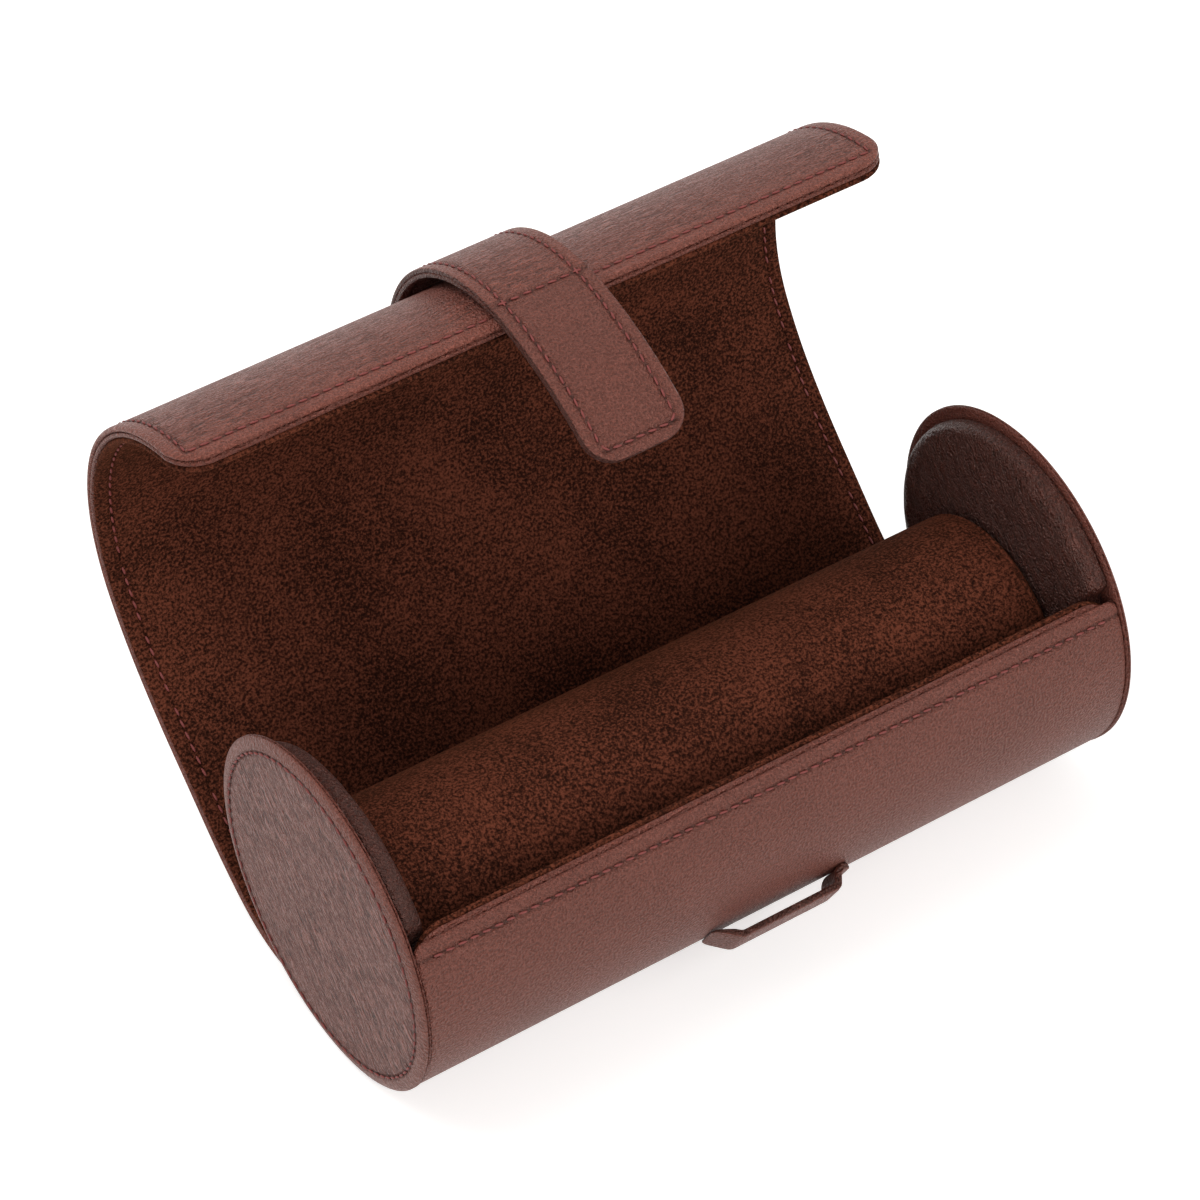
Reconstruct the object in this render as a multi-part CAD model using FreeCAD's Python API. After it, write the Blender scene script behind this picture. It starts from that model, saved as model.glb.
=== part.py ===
import FreeCAD, Part
import math
import os

V = FreeCAD.Vector

# Driving sizes, in millimetres and degrees
CASE_DIAMETER = 80.0
CASE_LENGTH = 180.0
LEATHER = 1.2
BOARD = 1.6
LINING = 1.2
DISC_THICKNESS = 1.6
FLAT_HALF = 5.0
LIP_ANGLE = 148.0
LIP_HEM = 1.3
FACING_WIDTH = 8.0
PAD_DEPTH = 6.0
PAD_GAP = 0.9
PAD_RIM = 2.3
PAD_RISE = 0.9
PAD_FORWARD = 0.8
PAD_ROUND = 4.0
PAD_LIP_GAP = 0.6
PAD_BACK_ANGLE = 305.0
END_BOARD = 1.5
ROLL_RADIUS = 26.6
ROLL_CLEARANCE = 0.3
ROLL_FORWARD = 1.4
ROLL_ROUND = 3.0
ROLL_END = 1.2
LID_SIDE_GAP = 0.4
STRIP_LENGTH = 18.0
STRIP_TURNS = (0.0, 34.0, 9.0, 0.0, 7.0, 11.0)
BEND_TURNS = (17.5, 10.5, 1.5, 22.0, 22.5, 10.0, 13.0)
LID_RADIUS = 46.5
LID_TURN = 117.0
LID_CORNER = 8.0
HINGE_GAP = 0.3
STRAP_LEATHER = 1.15
STRAP_WIDTH = 24.0
STRAP_REACH = 62.0
STRAP_TAB = 12.0
STRAP_LIFT = 2.6
TONGUE_RADIUS = 78.0
TONGUE_ROOT = 12.0
TONGUE_TIP = 27.5
TONGUE_CORNER = 7.0
TONGUE_TUCK = 29.0
KEEPER_TOP_ANGLE = 202.0
KEEPER_WIDTH = 10.0
KEEPER_LEATHER = 1.4
KEEPER_SPARE = 0.8
KEEPER_SIDE_GAP = 0.8
KEEPER_SLOPE = 2.0
KEEPER_FOOT = 2.6

# Sizes that follow from the driving ones
RADIUS = CASE_DIAMETER / 2
AXIS_Z = math.sqrt(RADIUS ** 2 - FLAT_HALF ** 2)
SHEET = LEATHER + BOARD + LINING
BOARD_DEPTH = LEATHER + BOARD
WALL_HALF = CASE_LENGTH / 2 - DISC_THICKNESS
LID_HALF = WALL_HALF - LID_SIDE_GAP
HINGE_DEPTH = LEATHER / 2
PAD_RADIUS = RADIUS - SHEET - PAD_GAP
PAD_FULL = RADIUS - PAD_RIM
PAD_FACE = WALL_HALF - PAD_DEPTH
ROLL_HALF = PAD_FACE - ROLL_CLEARANCE
ROLL_Z = SHEET + ROLL_CLEARANCE + ROLL_RADIUS
STRAP_THICKNESS = 2 * STRAP_LEATHER
KEEPER_GAP = STRAP_THICKNESS + KEEPER_SPARE
KEEPER_HALF = STRAP_WIDTH / 2 + KEEPER_SIDE_GAP
TOOL_MARGIN = 3.0


def unit(angle):
    return math.cos(math.radians(angle)), math.sin(math.radians(angle))


def polar(radius, angle):
    c, s = unit(angle)
    return radius * c, AXIS_Z + radius * s


def plate(outline, half):
    """Extrude a closed outline of lines (2 points) and arcs (3 points) in YZ to both sides of X = 0."""
    edges = []
    for run in outline:
        points = [V(-half, y, z) for y, z in run]
        if len(points) == 3:
            edges.append(Part.Arc(*points).toShape())
        else:
            edges.append(Part.LineSegment(*points).toShape())
    return Part.Face(Part.Wire(edges)).extrude(V(2 * half, 0, 0))


class Sheet:
    """A strip of sheet seen along X: it starts at a point, heads one way and turns evenly to the left."""

    def __init__(self, start, heading, length, turn):
        self.start = start
        self.heading = heading
        self.length = length
        self.turn = turn

    def at(self, s, depth):
        """The point at length s along the outer face and at a depth below it."""
        c, n = unit(self.heading)
        if abs(self.turn) < 0.01:
            return self.start[0] + s * c - depth * n, self.start[1] + s * n + depth * c
        radius = self.length / math.radians(self.turn)
        centre = (self.start[0] - radius * n, self.start[1] + radius * c)
        c, n = unit(self.heading + self.turn * s / self.length)
        return centre[0] + (radius - depth) * n, centre[1] - (radius - depth) * c

    def along(self, distance, depth):
        """Length on the outer face that gives a distance at a depth."""
        if abs(self.turn) < 0.01:
            return distance
        radius = self.length / math.radians(self.turn)
        return distance * radius / (radius - depth)

    def layer(self, top, bottom, cut_start, cut_end):
        """Outline between two depths, with the end cuts given as functions of depth."""
        begin = {d: self.along(cut_start(d), d) for d in (top, bottom)}
        end = {d: self.length - self.along(cut_end(d), d) for d in (top, bottom)}
        runs = []
        for d, first, last in ((top, begin, end), (bottom, end, begin)):
            run = [self.at(first[d], d), self.at(last[d], d)]
            if abs(self.turn) >= 0.01:
                run.insert(1, self.at((first[d] + last[d]) / 2, d))
            runs.append(run)
        return [runs[0], [runs[0][-1], runs[1][0]], runs[1], [runs[1][-1], runs[0][0]]]

    def next(self, length, turn):
        return Sheet(self.at(self.length, 0), self.heading + self.turn, length, turn)


def bend_cut(turn):
    """End cut that leaves room for the sheet to bend inwards by a turn shared by two strips."""
    slope = math.tan(math.radians(turn / 2))
    return lambda depth: HINGE_GAP / 2 + max(depth, 0) * slope


def square_cut(depth):
    return 0.0


def corner_tool(half, corner, end_point, heading, thickness):
    """What a rounded corner takes away at both sides of a sheet's end."""
    height = thickness + 4 * TOOL_MARGIN
    tools = []
    for side in (-1, 1):
        x = side * (half - corner)
        box = Part.makeBox(corner + TOOL_MARGIN, corner + TOOL_MARGIN, height)
        box.translate(V(x if side > 0 else x - corner - TOOL_MARGIN, -corner, -TOOL_MARGIN))
        post = Part.makeCylinder(corner, 2 * height, V(x, -corner, -height / 2))
        tools.append(box.cut(post))
    tool = tools[0].fuse(tools[1])
    tool.rotate(V(0, 0, 0), V(1, 0, 0), heading)
    tool.translate(V(0, end_point[0], end_point[1]))
    return tool


def barrel(radius, x_start, x_end, y, z, rounding=0.0, ends=(1,)):
    """A cylinder along X with the chosen end edges rounded: 0 is the end at x_start, 1 at x_end."""
    solid = Part.makeCylinder(radius, x_end - x_start, V(x_start, y, z), V(1, 0, 0))
    if rounding:
        wanted = [(x_start, x_end)[i] for i in ends]
        rims = [e for e in solid.Edges if len(e.Vertexes) == 1 and any(abs(e.CenterOfMass.x - w) < 0.01 for w in wanted)]
        solid = solid.makeFillet(rounding, rims)
    return solid


def wall(top, bottom, first_angle, last_cut):
    """Outline of one layer of the fixed wall from an angle at the front, under the case, to the first bend."""
    runs = []
    corners = []
    for depth in (top, bottom):
        radius = RADIUS - depth
        flat_y = -math.sqrt(radius ** 2 - (AXIS_Z - depth) ** 2)
        flat_angle = 180 + math.degrees(math.asin((AXIS_Z - depth) / radius))
        middle = polar(radius, (first_angle + flat_angle) / 2)
        corners.append([polar(radius, first_angle), middle, (flat_y, depth), (FLAT_HALF - last_cut(depth), depth)])
    outer, inner = corners
    runs.append(outer[:3])
    runs.append(outer[2:])
    runs.append([outer[3], inner[3]])
    runs.append([inner[3], inner[2]])
    runs.append([inner[2], inner[1], inner[0]])
    runs.append([inner[0], outer[0]])
    return runs


def ring_part(outer, inner, first_angle, last_angle):
    """Outline of a piece of ring about the case's axis."""
    middle = (first_angle + last_angle) / 2
    a = [polar(outer, t) for t in (first_angle, middle, last_angle)]
    b = [polar(inner, t) for t in (last_angle, middle, first_angle)]
    return [a, [a[2], b[0]], b, [b[2], a[0]]]


def arc_degrees(width, radius):
    return math.degrees(width / radius)


def pad_shape(inset):
    """The right end's pad, drawn in all round by an inset: full above the lip, and held in by the wall below it."""
    full = barrel(PAD_FULL - inset, PAD_FACE + inset, WALL_HALF, -PAD_FORWARD, AXIS_Z + PAD_RISE, PAD_ROUND - inset, (0,))
    lip_angle = LIP_ANGLE - arc_degrees(PAD_LIP_GAP + inset, RADIUS)
    back_angle = PAD_BACK_ANGLE + arc_degrees(inset, RADIUS)
    held = plate(ring_part(CASE_DIAMETER, PAD_RADIUS - inset, lip_angle, back_angle), CASE_LENGTH)
    return full.cut(held)


pieces = {}

# Fixed wall: leather outside, board, lining inside, and a facing along the front lip
first_bend = bend_cut(BEND_TURNS[0])
hem_angle = LIP_ANGLE + arc_degrees(LIP_HEM, RADIUS)
facing_angle = LIP_ANGLE + arc_degrees(FACING_WIDTH, RADIUS)
hem_depth = LEATHER + BOARD / 2
hem = plate(ring_part(RADIUS - LEATHER, RADIUS - hem_depth, LIP_ANGLE, hem_angle), WALL_HALF)
facing_hem = plate(ring_part(RADIUS - hem_depth, RADIUS - BOARD_DEPTH, LIP_ANGLE, hem_angle), WALL_HALF)
facing = plate(ring_part(RADIUS - BOARD_DEPTH, RADIUS - SHEET, LIP_ANGLE, facing_angle), WALL_HALF)
pieces["body_leather"] = plate(wall(0.0, LEATHER, LIP_ANGLE, first_bend), WALL_HALF).fuse(hem)
pieces["body_board"] = plate(wall(LEATHER, BOARD_DEPTH, hem_angle, first_bend), WALL_HALF)
pieces["body_lining"] = plate(wall(BOARD_DEPTH, SHEET, facing_angle, first_bend), WALL_HALF)
pieces["lip_facing"] = facing.fuse(facing_hem)

# Ends: a leather disc outside, and inside it a leather pad drawn over foam on a board
ground = Part.makeBox(2 * CASE_LENGTH, CASE_DIAMETER, CASE_DIAMETER, V(-CASE_LENGTH, -RADIUS, -CASE_DIAMETER))
disc = barrel(RADIUS, WALL_HALF, CASE_LENGTH / 2, 0, AXIS_Z, DISC_THICKNESS * 0.4).cut(ground)
pad = pad_shape(0.0)
filling = pad_shape(LEATHER)
backing = barrel(PAD_RADIUS - LEATHER, WALL_HALF - END_BOARD, WALL_HALF, 0, AXIS_Z)
right_end = {"disc": disc, "pad_cover": pad.cut(filling), "pad_foam": filling.cut(backing), "end_board": backing}
for name, shape in right_end.items():
    pieces["right_" + name] = shape
    pieces["left_" + name] = shape.mirror(V(0, 0, 0), V(1, 0, 0))

# Loop on the front that the strap's tongue goes under
loop_bottom = RADIUS + KEEPER_GAP
loop_top = loop_bottom + KEEPER_LEATHER
loop_run = [
    (KEEPER_HALF + KEEPER_SLOPE + KEEPER_FOOT, RADIUS),
    (KEEPER_HALF + KEEPER_SLOPE + KEEPER_FOOT, RADIUS + KEEPER_LEATHER),
    (KEEPER_HALF + KEEPER_SLOPE, RADIUS + KEEPER_LEATHER),
    (KEEPER_HALF, loop_top),
    (-KEEPER_HALF, loop_top),
    (-KEEPER_HALF - KEEPER_SLOPE, RADIUS + KEEPER_LEATHER),
    (-KEEPER_HALF - KEEPER_SLOPE - KEEPER_FOOT, RADIUS + KEEPER_LEATHER),
    (-KEEPER_HALF - KEEPER_SLOPE - KEEPER_FOOT, RADIUS),
    (-KEEPER_HALF - KEEPER_SLOPE + KEEPER_LEATHER, RADIUS),
    (-KEEPER_HALF + KEEPER_LEATHER / 2, loop_bottom),
    (KEEPER_HALF - KEEPER_LEATHER / 2, loop_bottom),
    (KEEPER_HALF + KEEPER_SLOPE - KEEPER_LEATHER, RADIUS),
]
loop_points = [V(x, *polar(r, KEEPER_TOP_ANGLE)) for x, r in loop_run]
loop_face = Part.Face(Part.makePolygon(loop_points + loop_points[:1]))
pieces["keeper_loop"] = loop_face.revolve(V(0, 0, AXIS_Z), V(1, 0, 0), arc_degrees(KEEPER_WIDTH, loop_bottom))

# Bending back: strips of the same three layers, one after another from the bottom up
strips = [Sheet((FLAT_HALF, 0.0), 0.0, STRIP_LENGTH, STRIP_TURNS[0])]
for turn in STRIP_TURNS[1:]:
    strips.append(strips[-1].next(STRIP_LENGTH, turn))
layers = (("leather", 0.0, LEATHER), ("padding", LEATHER, BOARD_DEPTH), ("lining", BOARD_DEPTH, SHEET))
joint_points = []
for k, strip in enumerate(strips):
    joint_points.append(strip.at(0, HINGE_DEPTH))
    for name, top, bottom in layers:
        outline = strip.layer(top, bottom, bend_cut(BEND_TURNS[k]), bend_cut(BEND_TURNS[k + 1]))
        pieces["flap_%d_%s" % (k + 1, name)] = plate(outline, LID_HALF)

# Lid: the stiff front part of the flap, with round corners and its leather turned over the front edge
lid_length = LID_RADIUS * math.radians(LID_TURN)
lid = strips[-1].next(lid_length, LID_TURN)
joint_points.append(lid.at(0, HINGE_DEPTH))
lid_end = lid.at(lid_length, 0)
lid_heading = lid.heading + lid.turn
lid_corners = corner_tool(LID_HALF, LID_CORNER, lid_end, lid_heading, SHEET)
last_bend = bend_cut(BEND_TURNS[-1])
front_hem = Sheet(lid.at(lid_length - LIP_HEM, 0), lid_heading - lid.turn * LIP_HEM / lid_length, LIP_HEM,
                  lid.turn * LIP_HEM / lid_length)
lid_hem = plate(front_hem.layer(LEATHER, BOARD_DEPTH, square_cut, square_cut), LID_HALF)
lid_leather = plate(lid.layer(0.0, LEATHER, last_bend, square_cut), LID_HALF).fuse(lid_hem)
lid_lining = plate(lid.layer(BOARD_DEPTH, SHEET, last_bend, square_cut), LID_HALF)
lid_board = plate(lid.layer(LEATHER, BOARD_DEPTH, last_bend, lambda depth: LIP_HEM), LID_HALF)
pieces["lid_leather"] = lid_leather.cut(lid_corners)
pieces["lid_board"] = lid_board.cut(lid_corners)
pieces["lid_lining"] = lid_lining.cut(lid_corners)

# Strap: two leathers that arch over the lid from a sewn tab to the lid's front edge
arch_low = [lid.at(lid_length - STRAP_REACH, 0), lid.at(lid_length - STRAP_REACH / 2, -STRAP_LIFT), lid_end]
arch_circle = Part.Arc(*[V(0, y, z) for y, z in arch_low]).toShape().Curve
arch_centre = (arch_circle.Center.y, arch_circle.Center.z)
rear_angle = math.degrees(math.atan2(arch_low[0][1] - arch_centre[1], arch_low[0][0] - arch_centre[0]))
front_angle = math.degrees(math.atan2(lid_end[1] - arch_centre[1], lid_end[0] - arch_centre[0]))


def arch(low, high):
    """One leather of the strap between two heights above the arch's underside."""
    rings = []
    for height in (low, high):
        radius = arch_circle.Radius + height
        angles = (rear_angle, (rear_angle + front_angle) / 2, front_angle)
        ring = []
        for angle in angles:
            c, s = unit(angle)
            ring.append((arch_centre[0] + radius * c, arch_centre[1] + radius * s))
        rings.append(ring)
    inner, outer = rings
    return [inner, [inner[2], outer[2]], outer[::-1], [outer[0], inner[0]]]


tab = Sheet(lid.at(lid_length - STRAP_REACH - STRAP_TAB, 0),
            lid_heading - lid.turn * (STRAP_REACH + STRAP_TAB) / lid_length, STRAP_TAB, lid.turn * STRAP_TAB / lid_length)
strap_parts = {}
for name, low in (("back", 0.0), ("top", STRAP_LEATHER)):
    tab_part = plate(tab.layer(-low - STRAP_LEATHER, -low, square_cut, square_cut), STRAP_WIDTH / 2)
    strap_parts[name] = plate(arch(low, low + STRAP_LEATHER), STRAP_WIDTH / 2).fuse(tab_part)
pieces["strap_back"] = strap_parts["back"].cut(lid_leather)
pieces["strap_top"] = strap_parts["top"].cut(strap_parts["back"])

# Tongue: the strap's free end beyond the lid, in a root and a tip that bend where they meet
strap_heading = front_angle + 90
c, s = unit(front_angle)
strap_end = (lid_end[0] + STRAP_THICKNESS * c, lid_end[1] + STRAP_THICKNESS * s)
root = Sheet(strap_end, strap_heading, TONGUE_ROOT, arc_degrees(TONGUE_ROOT, TONGUE_RADIUS))
tip = root.next(TONGUE_TIP, arc_degrees(TONGUE_TIP, TONGUE_RADIUS))
joint_points.append(strap_end)
joint_points.append(tip.start)
tuck_cut = bend_cut(TONGUE_TUCK)
tip_corners = corner_tool(STRAP_WIDTH / 2, TONGUE_CORNER, tip.at(TONGUE_TIP, 0), tip.heading + tip.turn, STRAP_THICKNESS)
for name, low in (("top", 0.0), ("back", STRAP_LEATHER)):
    high = low + STRAP_LEATHER
    pieces["tongue_" + name] = plate(root.layer(low, high, lambda d: 2 * tuck_cut(d), tuck_cut), STRAP_WIDTH / 2)
    pieces["tip_" + name] = plate(tip.layer(low, high, tuck_cut, square_cut), STRAP_WIDTH / 2).cut(tip_corners)

# Cushion roll: foam in a lining sleeve with a disc in each end
core_radius = ROLL_RADIUS - LINING
sleeve = barrel(ROLL_RADIUS, -ROLL_HALF, ROLL_HALF, -ROLL_FORWARD, ROLL_Z, ROLL_ROUND, (0, 1))
bore = barrel(core_radius, -CASE_LENGTH, CASE_LENGTH, -ROLL_FORWARD, ROLL_Z)
end_face = ROLL_HALF - ROLL_END / 2
pieces["roll_cover"] = sleeve.cut(bore)
pieces["roll_core"] = barrel(core_radius, -end_face + ROLL_END, end_face - ROLL_END, -ROLL_FORWARD, ROLL_Z)
pieces["roll_right_end"] = barrel(core_radius, end_face - ROLL_END, end_face, -ROLL_FORWARD, ROLL_Z)
pieces["roll_left_end"] = pieces["roll_right_end"].mirror(V(0, 0, 0), V(1, 0, 0))

os.makedirs("parts", exist_ok=True)
for name, shape in pieces.items():
    solids = shape.Solids
    if len(solids) != 1 or not solids[0].isValid():
        raise ValueError("%s is not one sound solid: %d" % (name, len(solids)))
    solids[0].exportStep("parts/%s.step" % name)

for k, (y, z) in enumerate(joint_points):
    print("bend %d at y %.4f z %.4f" % (k, y, z))
print("lid edge at y %.3f z %.3f heading %.2f, strap heading %.2f" % (lid_end[0], lid_end[1], lid_heading, strap_heading))
print("pieces", len(pieces))
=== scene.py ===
"""Looks of a leather watch storage case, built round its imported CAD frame."""

import math

import bmesh
import bpy
import numpy as np
from mathutils import Matrix, Vector


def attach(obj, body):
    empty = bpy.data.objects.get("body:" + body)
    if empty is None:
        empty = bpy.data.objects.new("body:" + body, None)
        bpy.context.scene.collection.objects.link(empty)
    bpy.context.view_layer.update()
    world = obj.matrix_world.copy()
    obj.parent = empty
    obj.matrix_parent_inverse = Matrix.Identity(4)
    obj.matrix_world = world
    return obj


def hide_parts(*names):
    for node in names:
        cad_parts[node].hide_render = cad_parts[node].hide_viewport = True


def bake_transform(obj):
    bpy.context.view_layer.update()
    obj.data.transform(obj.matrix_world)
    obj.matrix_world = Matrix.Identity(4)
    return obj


bl_info = {
    "name": "Watch storage case",
    "version": (1, 0, 0),
    "blender": (4, 5, 0),
    "location": "View3D > Sidebar > Watch case",
    "description": "Builds the leather, suede and thread of a watch storage case round its CAD frame",
    "category": "Object",
}

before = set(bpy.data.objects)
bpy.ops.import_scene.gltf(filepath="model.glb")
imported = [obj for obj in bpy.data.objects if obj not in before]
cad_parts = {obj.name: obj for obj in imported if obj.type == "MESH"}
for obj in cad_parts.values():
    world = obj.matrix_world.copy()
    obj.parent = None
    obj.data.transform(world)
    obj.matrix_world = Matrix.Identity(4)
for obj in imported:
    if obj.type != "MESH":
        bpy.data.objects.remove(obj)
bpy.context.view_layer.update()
MM = 0.001

# Sizes of the CAD part, in millimetres and degrees
RADIUS = 40.0
FLAT_HALF = 5.0
AXIS_Z = math.sqrt(RADIUS ** 2 - FLAT_HALF ** 2)
SHEET = 4.0
WALL_HALF = 88.4
LID_HALF = 88.0
LIP_ANGLE = 148.0
FACING_WIDTH = 8.0
STRIP_LENGTH = 18.0
STRIP_TURNS = (0.0, 34.0, 9.0, 0.0, 7.0, 11.0)
LID_RADIUS = 46.5
LID_TURN = 117.0
LID_LENGTH = LID_RADIUS * math.radians(LID_TURN)
LID_CORNER = 8.0
STRAP_WIDTH = 24.0
STRAP_LEATHER = 1.15
STRAP_REACH = 62.0
STRAP_TAB = 12.0
STRAP_LIFT = 2.6
TONGUE_RADIUS = 78.0
TONGUE_ROOT = 12.0
TONGUE_TIP = 27.5
TONGUE_CORNER = 7.0
PAD_HELD = 35.1
PAD_DEPTH = 6.0
PAD_ROUND = 4.0
PAD_LIP_ANGLE = 147.1
PAD_BACK_ANGLE = 305.0
ROLL_RADIUS = 26.6
ROLL_HALF = 82.1
ROLL_Y = -1.4
ROLL_Z = 30.9
KEEPER_HALF = 12.8
KEEPER_SLOPE = 2.0
KEEPER_FOOT = 2.6

# The loop's soft band is a little wider and thicker than the CAD one
BAND_ANGLE = 201.5
BAND_WIDTH = 10.5
BAND_LEATHER = 1.6
BAND_TOP = 44.85

# Layers of the sheet: name, depth of the outer face, thickness, how far the side is set back
LAYERS = (("outer", 0.0, 1.35, 0.0), ("welt", 1.3, 1.3, 0.05), ("inner", 2.55, 1.45, 0.1))

# How far each layer stands out past the outer one at the lid's edge and at the lip, and the lip's corners
LID_STEP = {"outer": 0.0, "welt": 0.35, "inner": 0.6}
LIP_STEP = {"outer": 0.0, "welt": 0.95, "inner": 1.8}
LIP_CORNER = {"outer": 2.5, "welt": 7.5, "inner": 8.5}

# Stitches, edges and grooves of the flat patterns, in millimetres and degrees
THREAD_SINK = 0.08
THREAD_FLATNESS = 0.9
STITCH_SLANT = 7.0
SMOOTH_ANGLE = 50.0
CORNER_SEGMENTS = 8
EDGE_RINGS = (0.2, 0.35, 0.55, 0.8)
EDGE_ROUND = 1.1
STRAP_ROUND = 0.5
EDGE_RIM = 0.1
GROOVE_LINES = (-0.9, -0.4, 0.0, 0.4, 0.9)
GROOVE_WIDTH = 0.5
GROOVE_OVERRUN = 5.0
MARGIN = 3.4
CUT_SPARE = 14.0

# Points of the cross-section lines: their spacing in millimetres, and how many ease a kink to each side
ARC_STEP = 0.5
SHEET_EASE = 5
STRAP_EASE = 6


def linear(code):
    """Linear RGBA of an sRGB hex value."""
    channels = [int(code[i:i + 2], 16) / 255 for i in (1, 3, 5)]
    return [c / 12.92 if c <= 0.04045 else ((c + 0.055) / 1.055) ** 2.4 for c in channels] + [1.0]


class CaseSizes(bpy.types.PropertyGroup):
    """Sizes of the sewing and the edges, in metres."""

    stitch_pitch: bpy.props.FloatProperty(
        name="Stitch pitch", description="Distance from one stitch to the next",
        default=0.0029, unit="LENGTH")
    stitch_inset: bpy.props.FloatProperty(
        name="Stitch inset", description="Distance of the stitches from the edge",
        default=0.0036, unit="LENGTH")
    thread_length: bpy.props.FloatProperty(
        name="Stitch length", description="Length of thread that shows in one stitch",
        default=0.0021, unit="LENGTH")
    thread_width: bpy.props.FloatProperty(
        name="Thread width", description="Width of the sewing thread",
        default=0.00058, unit="LENGTH")
    groove_depth: bpy.props.FloatProperty(
        name="Groove depth", description="How deep the stitches pull into the leather",
        default=0.00035, unit="LENGTH")


class CaseColours(bpy.types.PropertyGroup):
    """Colours of the case's finishes."""

    leather: bpy.props.FloatVectorProperty(
        name="Leather", description="Calf leather of the outside", subtype="COLOR", size=4, min=0, max=1,
        default=linear("#784135"))
    suede: bpy.props.FloatVectorProperty(
        name="Suede", description="Suede of the lining and the roll", subtype="COLOR", size=4, min=0, max=1,
        default=linear("#442217"))
    thread: bpy.props.FloatVectorProperty(
        name="Thread", description="Sewing thread", subtype="COLOR", size=4, min=0, max=1,
        default=linear("#742f29"))


class Path:
    """A line in a cross-section, in mm, kept as close points with their directions."""

    def __init__(self, points):
        self.points = np.array(points, float)
        gaps = np.hypot(*np.diff(self.points, axis=0).T)
        self.lengths = np.append(0.0, np.cumsum(gaps))
        self.length = self.lengths[-1]
        self.ways = np.gradient(self.points, self.lengths, axis=0)

    def at(self, s, depth):
        """Points at lengths s along the line and at depths to its left."""
        held = np.clip(s, 0.0, self.length)
        spot = [np.interp(held, self.lengths, self.points[:, i]) for i in (0, 1)]
        way = np.array([np.interp(held, self.lengths, self.ways[:, i]) for i in (0, 1)])
        way = way / np.hypot(*way)
        over = s - held
        first = spot[0] + over * way[0] - depth * way[1]
        second = spot[1] + over * way[1] + depth * way[0]
        return np.column_stack((first, second))

    def point(self, s, depth=0.0):
        """One point of the line as a place in the row frame, in metres."""
        y, z = self.at(np.array([s]), depth)[0]
        return (0.0, y * MM, z * MM)


def arcs(start, heading, runs):
    """Points of arcs that follow each other, each given as a length and a turn to the left."""
    points = [np.array(start, float)]
    for length, turn in runs:
        count = max(2, round(length / ARC_STEP))
        for i in range(count):
            angle = math.radians(heading + turn * (i + 0.5) / count)
            points.append(points[-1] + length / count * np.array((math.cos(angle), math.sin(angle))))
        heading += turn
    return points


def eased(points, reach):
    """The same line with its kinks eased over a number of points to each side."""
    points = np.array(points)
    before = 2 * points[0] - points[reach:0:-1]
    after = 2 * points[-1] - points[-2:-reach - 2:-1]
    padded = np.vstack((before, points, after))
    weights = np.hanning(2 * reach + 3)[1:-1]
    weights = weights / weights.sum()
    return np.column_stack([np.convolve(padded[:, i], weights, "valid") for i in (0, 1)])


def sheet_path():
    """The sheet's outer face: down the front wall, under the case, up the back and over the lid."""
    flat_angle = 180 + math.degrees(math.asin(AXIS_Z / RADIUS))
    turn = flat_angle - LIP_ANGLE
    lip = math.radians(LIP_ANGLE)
    start = (RADIUS * math.cos(lip), AXIS_Z + RADIUS * math.sin(lip))
    wall = arcs(start, LIP_ANGLE + 90, [(RADIUS * math.radians(turn), turn)])
    runs = [(2 * FLAT_HALF, 0.0)]
    runs += [(STRIP_LENGTH, strip_turn) for strip_turn in STRIP_TURNS]
    runs += [(LID_LENGTH, LID_TURN)]
    rest = arcs((-FLAT_HALF, 0.0), 0.0, runs)
    return Path(eased(wall + rest[1:], SHEET_EASE))


PROFILE = sheet_path()
LID_START = PROFILE.length - LID_LENGTH
STRIPS = len(STRIP_TURNS)
BENDS = [LID_START - STRIP_LENGTH * (STRIPS - k) for k in range(STRIPS + 1)]
UNDER = BENDS[0] - FLAT_HALF
CHAIN = ["case"] + ["flap_%d" % k for k in range(1, STRIPS + 1)] + ["lid"]


def strap_path():
    """The upper face of the strap: the sewn tab on the lid, the arch, then the free tongue."""
    rise = 2 * STRAP_LEATHER
    end = PROFILE.length
    under = ((end - STRAP_REACH, 0.0), (end - STRAP_REACH / 2, -STRAP_LIFT), (end, 0.0))
    a, b, c = (PROFILE.at(np.array([s]), depth)[0] for s, depth in under)
    system = 2 * np.array((b - a, c - a))
    centre = np.linalg.solve(system, np.array((b @ b - a @ a, c @ c - a @ a)))
    radius = np.hypot(*(a - centre)) + rise
    tab_lengths = np.arange(end - STRAP_REACH - STRAP_TAB, end - STRAP_REACH, ARC_STEP)
    tab = list(PROFILE.at(tab_lengths, -rise))
    first = math.atan2(*(a - centre)[::-1])
    last = math.atan2(*(c - centre)[::-1])
    angles = np.linspace(first, last, round(radius * (last - first) / ARC_STEP))
    arch = [centre + radius * np.array((math.cos(t), math.sin(t))) for t in angles]
    free = [(r, math.degrees(r / TONGUE_RADIUS)) for r in (TONGUE_ROOT, TONGUE_TIP)]
    tongue = arcs(arch[-1], math.degrees(last) + 90, free)
    return Path(eased(tab + arch + tongue[1:], STRAP_EASE))


STRAP = strap_path()
STRAP_HINGE = STRAP.length - TONGUE_ROOT - TONGUE_TIP


def clear_selection():
    """Object mode with nothing selected."""
    if bpy.context.mode != "OBJECT":
        bpy.ops.object.mode_set(mode="OBJECT")
    bpy.ops.object.select_all(action="DESELECT")


def take(obj):
    """Makes one object the selected and active one."""
    clear_selection()
    obj.select_set(True)
    bpy.context.view_layer.objects.active = obj


def apply(obj, kind, **settings):
    """Adds a modifier with its settings and applies it."""
    take(obj)
    modifier = obj.modifiers.new(kind.title(), kind)
    for key, value in settings.items():
        setattr(modifier, key, value)
    bpy.ops.object.modifier_apply(modifier=modifier.name)


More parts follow.
